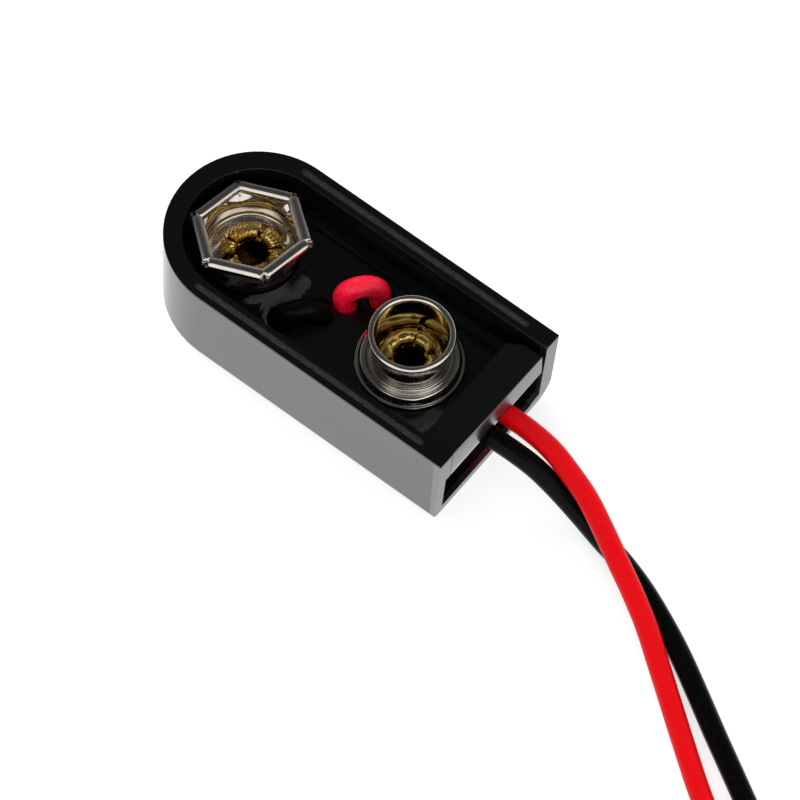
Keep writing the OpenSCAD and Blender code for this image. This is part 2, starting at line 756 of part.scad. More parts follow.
shell();
carrier();
hex_contact();
stud_contact();
hex_rivet();
stud_rivet();
hex_tag();
stud_tag();
red_inner_wire();
black_inner_wire();
red_bare_end();
black_bare_end();
red_solder();
black_solder();
red_lead();
black_lead();
red_coil();
black_coil();
red_tip();
black_tip();
lead_tie();
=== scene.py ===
import math

import bmesh
import bpy
import numpy as np
from mathutils import Matrix, Vector


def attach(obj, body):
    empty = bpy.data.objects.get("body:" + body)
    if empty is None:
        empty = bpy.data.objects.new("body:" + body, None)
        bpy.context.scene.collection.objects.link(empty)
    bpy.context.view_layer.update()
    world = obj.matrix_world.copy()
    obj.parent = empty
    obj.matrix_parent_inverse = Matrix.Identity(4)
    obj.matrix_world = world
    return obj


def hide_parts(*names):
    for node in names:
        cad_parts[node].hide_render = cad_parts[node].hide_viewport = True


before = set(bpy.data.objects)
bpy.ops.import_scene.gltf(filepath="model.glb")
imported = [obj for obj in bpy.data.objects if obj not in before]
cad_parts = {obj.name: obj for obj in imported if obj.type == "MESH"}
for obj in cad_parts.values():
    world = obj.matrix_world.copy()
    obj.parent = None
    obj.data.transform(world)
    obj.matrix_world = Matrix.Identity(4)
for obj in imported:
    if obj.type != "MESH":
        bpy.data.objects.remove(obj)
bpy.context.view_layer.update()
mm = 0.001  # sizes below are in millimetres, and meshes are made in metres
scene = bpy.context.scene
scene.view_settings.view_transform = "Standard"
print("frame loaded")


# Camera, from the photograph's viewing angle

cameraSizes = {
    "azimuth": 33.985,
    "elevation": 61.074,
    "roll": 4.3965,
    "distance": 348.02,
    "aimRight": 4.191,
    "aimUp": -3.093,
    "lens": 247.5,
    "sensor": 36.0,
    "nearest": 10.0,
    "farthest": 20000.0,
}


def addCamera(sizes):
    azimuth = math.radians(sizes["azimuth"])
    elevation = math.radians(sizes["elevation"])
    roll = math.radians(sizes["roll"])
    right = Vector((math.cos(azimuth), math.sin(azimuth), 0))
    ahead = Vector((-math.sin(azimuth), math.cos(azimuth), 0))
    back = Vector((0, 0, math.sin(elevation))) - ahead * math.cos(elevation)
    up = back.cross(right)
    axisX = right * math.cos(roll) + up * math.sin(roll)
    axisY = up * math.cos(roll) - right * math.sin(roll)
    place = right * sizes["aimRight"] + up * sizes["aimUp"] + back * sizes["distance"]
    camera = bpy.data.objects.new("camera", bpy.data.cameras.new("camera"))
    camera.data.sensor_fit = "HORIZONTAL"
    camera.data.sensor_width = sizes["sensor"]
    camera.data.lens = sizes["lens"]
    camera.data.clip_start = sizes["nearest"] * mm
    camera.data.clip_end = sizes["farthest"] * mm
    turn = Matrix((axisX, axisY, back)).transposed().to_4x4()
    camera.matrix_world = Matrix.Translation(place * mm) @ turn
    scene.collection.objects.link(camera)
    scene.camera = camera


addCamera(cameraSizes)


# Helpers for node trees

def addNode(tree, kind, inputs=None, **settings):
    node = tree.nodes.new(kind)
    for key, value in settings.items():
        setattr(node, key, value)
    for key, value in (inputs or {}).items():  # an output socket is linked, and any other value is set
        if isinstance(value, bpy.types.NodeSocket):
            tree.links.new(value, node.inputs[key])
        else:
            node.inputs[key].default_value = value
    return node


def maths(tree, operation, a, b=0.0, clamp=False):
    return addNode(tree, "ShaderNodeMath", {0: a, 1: b}, operation=operation, use_clamp=clamp).outputs[0]


def times(tree, a, b):
    return maths(tree, "MULTIPLY", a, b)


def remap(tree, value, low, high, toLow=0.0, toHigh=1.0):
    inputs = {"Value": value, "From Min": low, "From Max": high, "To Min": toLow, "To Max": toHigh}
    return addNode(tree, "ShaderNodeMapRange", inputs, interpolation_type="SMOOTHSTEP").outputs["Result"]


def mixColour(tree, factor, *colours):
    a, b = (part if isinstance(part, bpy.types.NodeSocket) else (*part, 1) for part in colours)
    return addNode(tree, "ShaderNodeMix", {0: factor, 6: a, 7: b}, data_type="RGBA").outputs[2]


def newGroup(name, output, **values):  # takes a vector and these values, and puts out one value
    group = bpy.data.node_groups.new(name, "ShaderNodeTree")
    group.interface.new_socket(name="Vector", in_out="INPUT", socket_type="NodeSocketVector")
    for label, value in values.items():
        socket = group.interface.new_socket(name=label, in_out="INPUT", socket_type="NodeSocketFloat")
        socket.default_value = value
    group.interface.new_socket(name=output, in_out="OUTPUT", socket_type="NodeSocketFloat")
    return group, group.nodes.new("NodeGroupInput").outputs, group.nodes.new("NodeGroupOutput").inputs


def useGroup(tree, group, inputs):
    return addNode(tree, "ShaderNodeGroup", inputs, node_tree=group).outputs


# Shared surface effects

def makeMottle():  # slow, soft variation between 0 and 1
    group, given, result = newGroup("mottle", "Value", Scale=500.0)
    noise = addNode(group, "ShaderNodeTexNoise",
                    {"Vector": given["Vector"], "Scale": given["Scale"], "Detail": 4.0})
    group.links.new(remap(group, noise.outputs["Fac"], 0.3, 0.7), result["Value"])
    return group


def makeScratches():  # thin lines in two directions, as a mask
    group, given, result = newGroup("scratches", "Mask", Scale=400.0, Stretch=14.0, Amount=0.3)
    masks = []
    for angle in (0.6, -0.9):
        turned = addNode(group, "ShaderNodeVectorRotate", {"Vector": given["Vector"], "Angle": angle},
                         rotation_type="Z_AXIS")
        parts = addNode(group, "ShaderNodeSeparateXYZ", {0: turned.outputs[0]})
        across = times(group, parts.outputs["Y"], given["Stretch"])
        joined = addNode(group, "ShaderNodeCombineXYZ",
                         {"X": parts.outputs["X"], "Y": across, "Z": parts.outputs["Z"]})
        noise = addNode(group, "ShaderNodeTexNoise",
                        {"Vector": joined.outputs[0], "Scale": given["Scale"], "Detail": 2.0})
        masks.append(remap(group, noise.outputs["Fac"], 0.66, 0.74))
    both = maths(group, "MAXIMUM", masks[0], masks[1])
    group.links.new(times(group, both, given["Amount"]), result["Mask"])
    return group


def makeSpecks():  # scattered specks of dust or small pits, as a mask
    group, given, result = newGroup("specks", "Mask", Scale=3000.0, Size=0.18, Share=0.2)
    cells = addNode(group, "ShaderNodeTexVoronoi", {"Vector": given["Vector"], "Scale": given["Scale"]})
    near = maths(group, "LESS_THAN", cells.outputs["Distance"], given["Size"])
    chosen = addNode(group, "ShaderNodeSeparateColor", {0: cells.outputs["Color"]}).outputs[0]
    kept = maths(group, "LESS_THAN", chosen, given["Share"])
    group.links.new(times(group, near, kept), result["Mask"])
    return group


mottle = makeMottle()
scratches = makeScratches()
specks = makeSpecks()


def mottled(tree, place, scale):
    return useGroup(tree, mottle, {"Vector": place, "Scale": scale})["Value"]


def newMaterial(name, colour, **values):  # the material, its tree and shader, and object coordinates
    material = bpy.data.materials.new(name)
    material.use_nodes = True
    tree = material.node_tree
    shader = tree.nodes["Principled BSDF"]
    shader.inputs["Base Color"].default_value = (*colour, 1)
    for key, value in values.items():
        shader.inputs[key.replace("_", " ")].default_value = value
    place = addNode(tree, "ShaderNodeTexCoord").outputs["Object"]
    return material, tree, shader, place


def addBump(tree, shader, height, strength, depth):
    bump = addNode(tree, "ShaderNodeBump",
                   {"Height": height, "Strength": strength, "Distance": depth * mm})
    tree.links.new(bump.outputs[0], shader.inputs["Normal"])


# Moulded plastic: gloss black, shinier on its outer skin, with dust, scratches and a rough band of heights

plasticSizes = {
    "skin": 5.7,
    "rimZ": 6.92,
    "arcX": -6.5,
    "bandEdge": 0.02,
    "iorOutside": 2.35,
    "iorInside": 1.42,
    "iorEnd": 3.4,
    "roughEnd": 0.22,
    "gloss": 0.05,
    "glossSpread": 0.04,
    "matt": 0.4,
    "slowScale": 260.0,
    "fineScale": 26000.0,
    "fineDrawn": (0.3, 1.0, 1.0),
    "scratchScale": 420.0,
    "scratchStretch": 22.0,
    "scratchMatt": 0.1,
    "dustScale": 1500.0,
    "dustSize": 0.07,
    "dustCover": 0.04,
    "dustShade": 0.4,
    "paler": 0.08,
    "waves": 1.5,
    "relief": 0.3,
    "reliefDepth": 0.005,
}
shellSizes = dict(plasticSizes, satinLow=6.9, satinHigh=7.02, satin=0.95, dusty=0.6, endX=11.95)
carrierSizes = dict(plasticSizes, satinLow=6.4, satinHigh=6.95, satin=0.2, dusty=0.0, endX=12.42)


def makePlastic(name, colour, sizes):
    material, tree, shader, place = newMaterial(name, colour)
    parts = addNode(tree, "ShaderNodeSeparateXYZ", {0: place}).outputs
    low, high, edge = sizes["satinLow"] * mm, sizes["satinHigh"] * mm, sizes["bandEdge"] * mm
    above = remap(tree, parts["Z"], low - edge, low + edge)
    below = remap(tree, parts["Z"], high - edge, high + edge, 1.0, 0.0)
    band = times(tree, above, below)

    # masks of the outer skin and of the square end's faces
    past = maths(tree, "MINIMUM", maths(tree, "SUBTRACT", parts["X"], sizes["arcX"] * mm), 0.0)
    flatPlace = addNode(tree, "ShaderNodeCombineXYZ", {"X": past, "Y": parts["Y"]})
    fromMiddle = addNode(tree, "ShaderNodeVectorMath", {0: flatPlace.outputs[0]}, operation="LENGTH")
    underRim = maths(tree, "LESS_THAN", parts["Z"], sizes["rimZ"] * mm)
    farOut = maths(tree, "GREATER_THAN", fromMiddle.outputs["Value"], sizes["skin"] * mm)
    atSkin = times(tree, underRim, farOut)
    atEnd = times(tree, underRim, maths(tree, "GREATER_THAN", parts["X"], sizes["endX"] * mm))
    skin = times(tree, atSkin, sizes["iorOutside"] - sizes["iorInside"])
    end = times(tree, atEnd, sizes["iorEnd"] - sizes["iorInside"])
    ior = maths(tree, "ADD", maths(tree, "MAXIMUM", skin, end), sizes["iorInside"])
    tree.links.new(ior, shader.inputs["IOR"])

    slow = mottled(tree, place, sizes["slowScale"])
    drawn = addNode(tree, "ShaderNodeVectorMath", {0: place, 1: sizes["fineDrawn"]}, operation="MULTIPLY")
    fine = mottled(tree, drawn.outputs[0], sizes["fineScale"])
    lines = useGroup(tree, scratches, {"Vector": place, "Scale": sizes["scratchScale"],
                                       "Stretch": sizes["scratchStretch"], "Amount": 1.0})["Mask"]
    dust = useGroup(tree, specks, {"Vector": place, "Scale": sizes["dustScale"], "Size": sizes["dustSize"],
                                   "Share": sizes["dustCover"]})["Mask"]

    soft = times(tree, band, remap(tree, fine, 0.0, 1.0, sizes["satin"] * 0.6, sizes["satin"]))
    worn = maths(tree, "ADD", soft, times(tree, lines, sizes["scratchMatt"]))
    gloss = remap(tree, slow, 0.0, 1.0, sizes["gloss"], sizes["gloss"] + sizes["glossSpread"])
    rough = maths(tree, "ADD", gloss, times(tree, worn, sizes["matt"]), clamp=True)
    rough = maths(tree, "ADD", rough, times(tree, atEnd, sizes["roughEnd"]))
    tree.links.new(rough, shader.inputs["Roughness"])

    grain = times(tree, soft, remap(tree, fine, 0.0, 1.0, 0.25, 1.0))
    grain = times(tree, grain, sizes["dusty"])
    mask = maths(tree, "MAXIMUM", times(tree, dust, sizes["dustShade"]), grain)
    pale = tuple(sizes["paler"] + part for part in colour)
    tree.links.new(mixColour(tree, mask, colour, pale), shader.inputs["Base Color"])
    waves = times(tree, slow, sizes["waves"])
    relief = maths(tree, "ADD", waves, times(tree, soft, fine))
    addBump(tree, shader, relief, sizes["relief"], sizes["reliefDepth"])
    return material


shellPlastic = makePlastic("shellPlastic", (0.003, 0.003, 0.0035), shellSizes)
carrierPlastic = makePlastic("carrierPlastic", (0.0035, 0.004, 0.004), carrierSizes)


# Metals

metalSizes = {
    "slowScale": 1100.0,
    "pitScale": 9000.0,
    "pitSize": 0.3,
    "pitRough": 0.2,
    "pitShade": 0.5,
    "stain": 0.35,
    "stainDark": 0.7,
    "smoothest": 0.8,
    "roughest": 1.5,
    "relief": 0.25,
    "band": None,  # two heights between which there are no pits, and the colour is multiplied by a factor as painted shade
    "paintedShade": 1.0,
}
nickelSizes = dict(metalSizes, rough=0.09, pits=0.04, grain=3000.0, grainDepth=0.002)
# painted shade: the stud's waist is darkened between these heights
studNickelSizes = dict(nickelSizes, rough=0.08, pits=0.22, band=(5.2, 7.4), paintedShade=0.55)
# painted shade: the rivet's hollow barrel and floor, down in the holes, are made almost black
brassSizes = dict(metalSizes, rough=0.2, pits=0.04, grain=5000.0, grainDepth=0.006, band=(2.8, 4.12),
                  paintedShade=0.03)
studBrassSizes = dict(brassSizes, band=(2.8, 4.5))
tinSizes = dict(metalSizes, rough=0.3, pits=0.1, grain=3000.0, grainDepth=0.02)
copperSizes = dict(tinSizes, rough=0.28)
solderSizes = dict(metalSizes, rough=0.2, pits=0.05, grain=2000.0, grainDepth=0.03)


def makeMetal(name, colour, sizes):
    material, tree, shader, place = newMaterial(name, colour, Metallic=1.0)
    slow = mottled(tree, place, sizes["slowScale"])
    grain = mottled(tree, place, sizes["grain"])
    pits = useGroup(tree, specks, {"Vector": place, "Scale": sizes["pitScale"], "Size": sizes["pitSize"],
                                   "Share": sizes["pits"]})["Mask"]
    dark = tuple(part * sizes["stainDark"] for part in colour)
    if sizes["band"]:
        low, high = sizes["band"]
        height = addNode(tree, "ShaderNodeSeparateXYZ", {0: place}).outputs["Z"]
        outside = maths(tree, "MAXIMUM", maths(tree, "LESS_THAN", height, low * mm),
                        maths(tree, "GREATER_THAN", height, high * mm))
        pits = times(tree, pits, outside)
        # painted shade: the colour between the band's heights is darkened by a factor
        colour = mixColour(tree, outside, tuple(part * sizes["paintedShade"] for part in colour), colour)
    rough = sizes["rough"]
    even = remap(tree, slow, 0.0, 1.0, rough * sizes["smoothest"], rough * sizes["roughest"])
    rough = maths(tree, "ADD", even, times(tree, pits, sizes["pitRough"]), clamp=True)
    tree.links.new(rough, shader.inputs["Roughness"])
    spot = maths(tree, "MAXIMUM", times(tree, pits, sizes["pitShade"]),
                 remap(tree, slow, 0.5, 1.0, 0.0, sizes["stain"]))
    tree.links.new(mixColour(tree, spot, colour, dark), shader.inputs["Base Color"])
    addBump(tree, shader, maths(tree, "SUBTRACT", grain, pits), sizes["relief"], sizes["grainDepth"])
    return material


nickel = makeMetal("nickel", (0.8, 0.74, 0.68), nickelSizes)
pittedNickel = makeMetal("pittedNickel", (0.82, 0.78, 0.71), studNickelSizes)
brass = makeMetal("brass", (1.0, 0.69, 0.2), brassSizes)
studBrass = makeMetal("studBrass", (1.0, 0.69, 0.2), studBrassSizes)
tinnedBrass = makeMetal("tinnedBrass", (0.66, 0.65, 0.62), tinSizes)
tinnedCopper = makeMetal("tinnedCopper", (0.68, 0.67, 0.65), copperSizes)
solderMetal = makeMetal("solderMetal", (0.6, 0.6, 0.6), solderSizes)


# Soft insulation

insulationSizes = {
    "ior": 1.45,
    "slowScale": 500.0,
    "fineScale": 4000.0,
    "scratchScale": 300.0,
    "scratches": 0.5,
    "scratchRough": 0.15,
    "smoothest": 0.85,
    "roughest": 1.2,
    "paleShare": 0.4,
    "changeFrom": 4.0,
    "changeTo": 8.0,
    "relief": 0.12,
    "reliefDepth": 0.01,
}
leadRed = (0.62, 0.0005, 0.003)


def makeInsulation(name, colour, paler, roughness, gleam, sizes, outside=None):
    material, tree, shader, place = newMaterial(name, colour, IOR=sizes["ior"], Specular_IOR_Level=gleam)
    slow = mottled(tree, place, sizes["slowScale"])
    fine = mottled(tree, place, sizes["fineScale"])
    lines = useGroup(tree, scratches, {"Vector": place, "Scale": sizes["scratchScale"],
                                       "Amount": sizes["scratches"]})["Mask"]
    even = remap(tree, slow, 0.0, 1.0, roughness * sizes["smoothest"], roughness * sizes["roughest"])
    rough = maths(tree, "ADD", even, times(tree, lines, sizes["scratchRough"]), clamp=True)
    tree.links.new(rough, shader.inputs["Roughness"])
    shade = mixColour(tree, remap(tree, fine, 0.4, 1.0, 0.0, sizes["paleShare"]), colour, paler)
    if outside:  # the wire's own red towards the outlet, after a brighter, pinker red that is painted light
        along = addNode(tree, "ShaderNodeSeparateXYZ", {0: place}).outputs["X"]
        change = remap(tree, along, sizes["changeFrom"] * mm, sizes["changeTo"] * mm)
        shade = mixColour(tree, change, shade, outside)
    tree.links.new(shade, shader.inputs["Base Color"])
    addBump(tree, shader, fine, sizes["relief"], sizes["reliefDepth"])
    return material


redInsulation = makeInsulation("redInsulation", leadRed, (0.68, 0.001, 0.008), 0.34, 0.14, insulationSizes)
# the loop is the same wire as the red lead: its brighter, pinker red is painted light, going over to the
# lead's red towards the outlet
litLoopInsulation = makeInsulation("litLoopInsulation", (0.85, 0.003, 0.025), (0.92, 0.03, 0.09), 0.3, 0.6,
                                insulationSizes, leadRed)
blackInsulation = makeInsulation("blackInsulation", (0.0015, 0.002, 0.0015), (0.004, 0.004, 0.004), 0.26, 0.1,
                                 insulationSizes)
tiePlastic = makeInsulation("tiePlastic", (0.03, 0.03, 0.032), (0.05, 0.05, 0.052), 0.5, 0.4, insulationSizes)
print("materials made")


# Floor, surroundings and lamps

stageSizes = {
    "floorSize": 6000.0,
    "floorGlow": 0.62,
    "floorDiffuse": 0.5,
    "floorMirrored": 1.0,
    "floorPlain": 0.8,
    "brightSide": (0.7, -0.714, 0.0),
    "brightFrom": 0.1,
    "brightTo": 0.42,
    "shade": (0.209, -0.311, 0.927),
    "shadeFrom": 0.92,
    "shadeTo": 0.98,
    "darkOverhead": 0.05,
    "darkLow": 0.2,
    "darkFrom": 0.1,
    "darkTo": 0.75,
    "worldDiffuse": 0.75,
}
lampSizes = {  # place, size and power in watts; each faces the object
    "lampLeft": ((-420, 60, 260), 300, 1.4),
    "lampRight": ((330, -260, 190), 260, 1.0),
    "lampBack": ((60, 420, 200), 300, 0.7),
}


def addFloor(sizes):
    half = sizes["floorSize"] / 2 * mm
    mesh = bpy.data.meshes.new("floor")
    corners = [(-half, -half, 0), (half, -half, 0), (half, half, 0), (-half, half, 0)]
    mesh.from_pydata(corners, [], [(0, 1, 2, 3)])
    material = bpy.data.materials.new("floor")
    material.use_nodes = True
    tree = material.node_tree
    tree.nodes.remove(tree.nodes["Principled BSDF"])
    path = addNode(tree, "ShaderNodeLightPath").outputs
    glow = addNode(tree, "ShaderNodeEmission", {"Strength": sizes["floorGlow"]}).outputs[0]
    pale = addNode(tree, "ShaderNodeBsdfDiffuse", {"Color": (*[sizes["floorDiffuse"]] * 3, 1)}).outputs[0]
    seen = addNode(tree, "ShaderNodeAddShader", {0: glow, 1: pale}).outputs[0]
    plain = addNode(tree, "ShaderNodeBsdfDiffuse", {"Color": (*[sizes["floorPlain"]] * 3, 1)}).outputs[0]
    mirrored = addNode(tree, "ShaderNodeEmission", {"Strength": sizes["floorMirrored"]}).outputs[0]
    other = addNode(tree, "ShaderNodeMixShader", {0: path["Is Glossy Ray"], 1: plain, 2: mirrored}).outputs[0]
    straight = maths(tree, "MAXIMUM", path["Is Camera Ray"], path["Is Transmission Ray"])
    whole = addNode(tree, "ShaderNodeMixShader", {0: straight, 1: other, 2: seen}).outputs[0]
    tree.links.new(whole, tree.nodes["Material Output"].inputs["Surface"])
    mesh.materials.append(material)
    floor = bpy.data.objects.new("floor", mesh)
    scene.collection.objects.link(floor)


def setWorld(sizes):
    world = bpy.data.worlds.new("studio")
    scene.world = world
    world.use_nodes = True
    tree = world.node_tree
    tree.nodes.clear()
    path = addNode(tree, "ShaderNodeLightPath").outputs
    way = addNode(tree, "ShaderNodeTexCoord").outputs["Generated"]
    towards = addNode(tree, "ShaderNodeVectorMath", {0: way, 1: sizes["brightSide"]},
                      operation="DOT_PRODUCT")
    near = remap(tree, towards.outputs["Value"], sizes["brightFrom"], sizes["brightTo"])
    above = addNode(tree, "ShaderNodeVectorMath", {0: way, 1: sizes["shade"]}, operation="DOT_PRODUCT")
    shade = remap(tree, above.outputs["Value"], sizes["shadeFrom"], sizes["shadeTo"], 1.0, 0.0)
    near = times(tree, near, shade)
    height = addNode(tree, "ShaderNodeSeparateXYZ", {0: way}).outputs["Z"]
    far = remap(tree, height, sizes["darkFrom"], sizes["darkTo"], sizes["darkLow"], sizes["darkOverhead"])
    mirrored = mixColour(tree, near, far, (1, 1, 1))
    straight = maths(tree, "MAXIMUM", path["Is Camera Ray"], path["Is Transmission Ray"])
    lit = mixColour(tree, path["Is Glossy Ray"], (sizes["worldDiffuse"],) * 3, mirrored)
    colour = mixColour(tree, straight, lit, (1, 1, 1))
    sky = addNode(tree, "ShaderNodeBackground", {"Color": colour})
    tree.links.new(sky.outputs[0], addNode(tree, "ShaderNodeOutputWorld").inputs["Surface"])


def addLamps(sizes):
    for name, (place, size, power) in sizes.items():
        lamp = bpy.data.objects.new(name, bpy.data.lights.new(name, "AREA"))
        lamp.data.shape = "DISK"
        lamp.data.size = size * mm
        lamp.data.energy = power
        lamp.visible_glossy = False
        lamp.location = Vector(place) * mm
        lamp.rotation_euler = (-Vector(place)).to_track_quat("-Z", "Y").to_euler()
        scene.collection.objects.link(lamp)


addFloor(stageSizes)
setWorld(stageSizes)
addLamps(lampSizes)
print("stage set")


# Paths and tubes

def fullTurn(steps):
    return np.arange(steps) * 2 * math.pi / steps


def outward(angle):
    return np.array((math.cos(angle), math.sin(angle), 0))


def spun(x, y, angle):
    return x * math.cos(angle) - y * math.sin(angle), x * math.sin(angle) + y * math.cos(angle)


def bandFaces(here, there, around):  # faces between two rings of points
    return [(here + k, here + (k + 1) % around, there + (k + 1) % around, there + k) for k in range(around)]


def ringPoints(centre, radius, z, around):
    return [(centre[0] + radius * math.cos(a), centre[1] + radius * math.sin(a), z) for a in fullTurn(around)]


def evenly(points, spacing):  # the same line with points about a spacing apart
    points = np.array(points, float)
    along = np.concatenate([[0], np.cumsum(np.linalg.norm(np.diff(points, axis=0), axis=1))])
    count = max(2, int(round(along[-1] / spacing)) + 1)
    places = np.linspace(0, along[-1], count)
    return np.column_stack([np.interp(places, along, points[:, axis]) for axis in range(3)])


def smoothLine(points, before, steps=12):  # a curve through the points, coming from another before them
    points = np.array(points, float)
    ends = np.vstack([before, points, 2 * points[-1] - points[-2]])
    line = []
    for a, b, c, d in zip(ends, ends[1:], ends[2:], ends[3:]):
        for t in np.linspace(0, 1, steps, endpoint=False):
            line.append(0.5 * (2 * b + (c - a) * t + (2 * a - 5 * b + 4 * c - d) * t ** 2
                               + (3 * b - a - 3 * c + d) * t ** 3))
    line.append(points[-1])
    return np.array(line)


def bentLine(corners, step=6):  # straight runs joined by arcs; a corner is x, y, z, bend radius
    line = [np.array(corners[0][:3], float)]
    for before, here, after in zip(corners, corners[1:], corners[2:]):
        a, b, c = (np.array(corner[:3], float) for corner in (before, here, after))
        coming = (b - a) / np.linalg.norm(b - a)
        going = (c - b) / np.linalg.norm(c - b)
        angle = math.acos(max(-1, min(1, float(coming @ going))))
        side = going - coming * (coming @ going)
        side = side / np.linalg.norm(side)
        start = b - coming * here[3] * math.tan(angle / 2)
        for turn in np.linspace(0, angle, max(3, int(math.degrees(angle) / step))):
            line.append(start + here[3] * (coming * math.sin(turn) + side * (1 - math.cos(turn))))
    line.append(np.array(corners[-1][:3], float))
    return np.array(line)


def carriedFrames(path):  # a direction and two sideways directions at each point, without twist
    ahead = np.gradient(path, axis=0)
    ahead /= np.linalg.norm(ahead, axis=1)[:, None]
    side = np.cross((0, 0, 1), ahead[0])
    side /= np.linalg.norm(side)
    sides = []
    for way in ahead:
        side = side - way * (side @ way)
        side /= np.linalg.norm(side)
        sides.append(side)
    sides = np.array(sides)
    return ahead, sides, np.cross(ahead, sides)


def tubeMesh(name, path, radius, around=28):  # closed round tube
    ahead, side, up = carriedFrames(path)
    angles = fullTurn(around)
    across, over = np.cos(angles)[:, None], np.sin(angles)[:, None]
    points = [path[0]]
    for i, middle in enumerate(path):
        points += list(middle + radius * (across * side[i] + over * up[i]))
    points.append(path[-1])
    last = len(points) - 1
    faces = [(0, 1 + (k + 1) % around, 1 + k) for k in range(around)]
    for r in range(len(path) - 1):
        faces += bandFaces(1 + r * around, 1 + (r + 1) * around, around)
    base = last - around
    faces += [(last, base + k, base + (k + 1) % around) for k in range(around)]
    return toMesh(name, points, faces)


def toMesh(name, points, faces):
    mesh = bpy.data.meshes.new(name)
    mesh.from_pydata([tuple(float(part) * mm for part in point) for point in points], [], faces)
    mesh.update()
    return mesh


def addPiece(name, mesh, material, replaced=(), sharp=35):
    piece = bpy.data.objects.new(name, mesh)
    scene.collection.objects.link(piece)
    mesh.materials.clear()
    mesh.materials.append(material)
    mesh.polygons.foreach_set("use_smooth", [True] * len(mesh.polygons))
    mesh.set_sharp_from_angle(angle=math.radians(sharp))
    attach(piece, "root")
    if replaced:
        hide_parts(*replaced)
    return piece


# Leads: the free run, the coil of spare length and the tail, on the same route as the frame's solids

leadSizes = {
    "diameter": 1.4,
    "length": 150.0,
    "coilMiddle": (54.5, -9.5),
    "outerTurn": 9.0,
    "innerTurn": 6.1,
    "stub": 5.2,
    "coilSteps": 160,
    "tailTurn": 3.4,
    "tailFrom": 8.0,
    "tailTo": 100.0,
    "tailSteps": 16,
    "inside": 1.6,
    "meet": 0.5,
    "spacing": 0.35,
    "stripped": 5.0,
}
redRoute = [
    (12.5, 1.2, 3.48), (14.2, 1.2, 3.44), (16, 1.05, 3.25), (17.8, 0.6, 2.95), (19.6, 0, 2.65),
    (21.6, -1, 2.35), (23.5, -2.05, 2.1), (25.45, -3.1, 1.8), (27.4, -4.25, 1.42), (29.4, -5.65, 0.98),
    (31.7, -7.35, 0.74), (34, -9.1, 0.7), (36.5, -10.95, 0.7), (39, -12.6, 0.8), (41.4, -13.85, 1.2),
    (43.8, -14.88, 1.85),
]
blackRoute = [
    (12.5, -0.65, 3.48), (14.1, -0.5, 3.23), (15.8, -0.3, 2.62), (17.6, -0.25, 1.72), (19.5, -0.45, 1.05),
    (21.4, -0.85, 0.75), (23.4, -1.3, 0.7), (25.6, -2.05, 0.7), (27.8, -3.05, 0.7), (30, -4.2, 0.7),
    (32.4, -5.65, 0.7), (34.8, -7.15, 0.7), (37.2, -8.6, 0.7), (39.6, -10.05, 0.7), (42.2, -11.55, 0.78),
]


def leadPath(route, enter, leave, layer, sizes):
    middle = np.array((*sizes["coilMiddle"], layer))
    first, last = math.radians(enter), math.radians(leave)
    begin = middle + sizes["outerTurn"] * outward(first)
    heading = np.array((-math.sin(first), math.cos(first), 0))
    angles = np.linspace(first, last, sizes["coilSteps"])
    radii = np.linspace(sizes["outerTurn"], sizes["innerTurn"], sizes["coilSteps"])
    turns = [middle + radius * outward(angle) for angle, radius in zip(angles, radii)]
    hub = middle + (sizes["innerTurn"] - sizes["tailTurn"]) * outward(last)
    bends = last + np.radians(np.linspace(sizes["tailFrom"], sizes["tailTo"], sizes["tailSteps"]))
    tail = [hub + sizes["tailTurn"] * outward(angle) for angle in bends]
    before = (route[0][0] - sizes["inside"], *route[0][1:])
    straight = [begin - heading * sizes["stub"], begin - heading * sizes["meet"]]
    coming = smoothLine(list(route) + straight, before)
    return evenly(list(coming) + turns + tail, sizes["spacing"])


def addLead(name, path, material, replaced, sizes):
    run = float(np.linalg.norm(np.diff(path, axis=0), axis=1).sum())
    print(name, "is", round(run, 1), "mm long and its stripped end", sizes["stripped"])
    return addPiece(name, tubeMesh(name, path, sizes["diameter"] / 2), material, replaced)


redPath = leadPath(redRoute, enter=-112, leave=560, layer=2.3, sizes=leadSizes)
blackPath = leadPath(blackRoute, enter=-130, leave=605, layer=0.9, sizes=leadSizes)
redLead = addLead("redLead", redPath, redInsulation, ["red_lead", "red_coil"], leadSizes)
blackLead = addLead("blackLead", blackPath, blackInsulation, ["black_lead", "black_coil"],
                    leadSizes)
print("leads laid")


# Wires inside: soldered under the carrier, looped up through it and led to the outlet

insideSizes = {
    "diameter": 1.4,
    "around": 32,
    "spacing": 0.12,
    "jointZ": 2.48,
    "jointBend": 0.9,
    "floorZ": 1.45,
    "footBend": 1.2,
    "end": 12.5,
    "turnIn": 9.1,
    "turnOut": 5.9,
    "turnBend": 3.0,
    "riseFrom": 3.9,
    "riseTo": 1.1,
    "riseBend": 2.8,
    "outZ": 3.48,
    "bulgeOver": 0.6,
    "bulgePower": 0.9,
}
redFeet = ((-0.14, 0.88), (1.45, 2.4))
redSizes = dict(insideSizes, feet=redFeet, joint=-2.14, top=6.05, topBend=math.dist(*redFeet) / 2 - 0.001,
                y=1.2, bulgeFrom=3.9, bulgeLeft=0.2, bulgeRight=-0.12)
blackSizes = dict(insideSizes, feet=((-0.9, -0.64), (-2.58, -2.64)), joint=0.66, top=4.95, topBend=1.15,
                  y=-0.65)


def insidePath(sizes):
    first, second = sizes["feet"]
    low, out, end, y = sizes["floorZ"], sizes["outZ"], sizes["end"], sizes["y"]
    corners = [
        (sizes["joint"], first[1], sizes["jointZ"], 0),
        (*first, sizes["jointZ"], sizes["jointBend"]),
        (*first, sizes["top"], sizes["topBend"]),
        (*second, sizes["top"], sizes["topBend"]),
        (*second, low, sizes["footBend"]),
        (end - sizes["turnIn"], second[1], low, sizes["turnBend"]),
        (end - sizes["turnOut"], y, low, sizes["turnBend"]),
        (end - sizes["riseFrom"], y, low, sizes["riseBend"]),
        (end - sizes["riseTo"], y, out, sizes["riseBend"]),
        (end, y, out, 0),
    ]
    return evenly(bentLine(corners), sizes["spacing"])


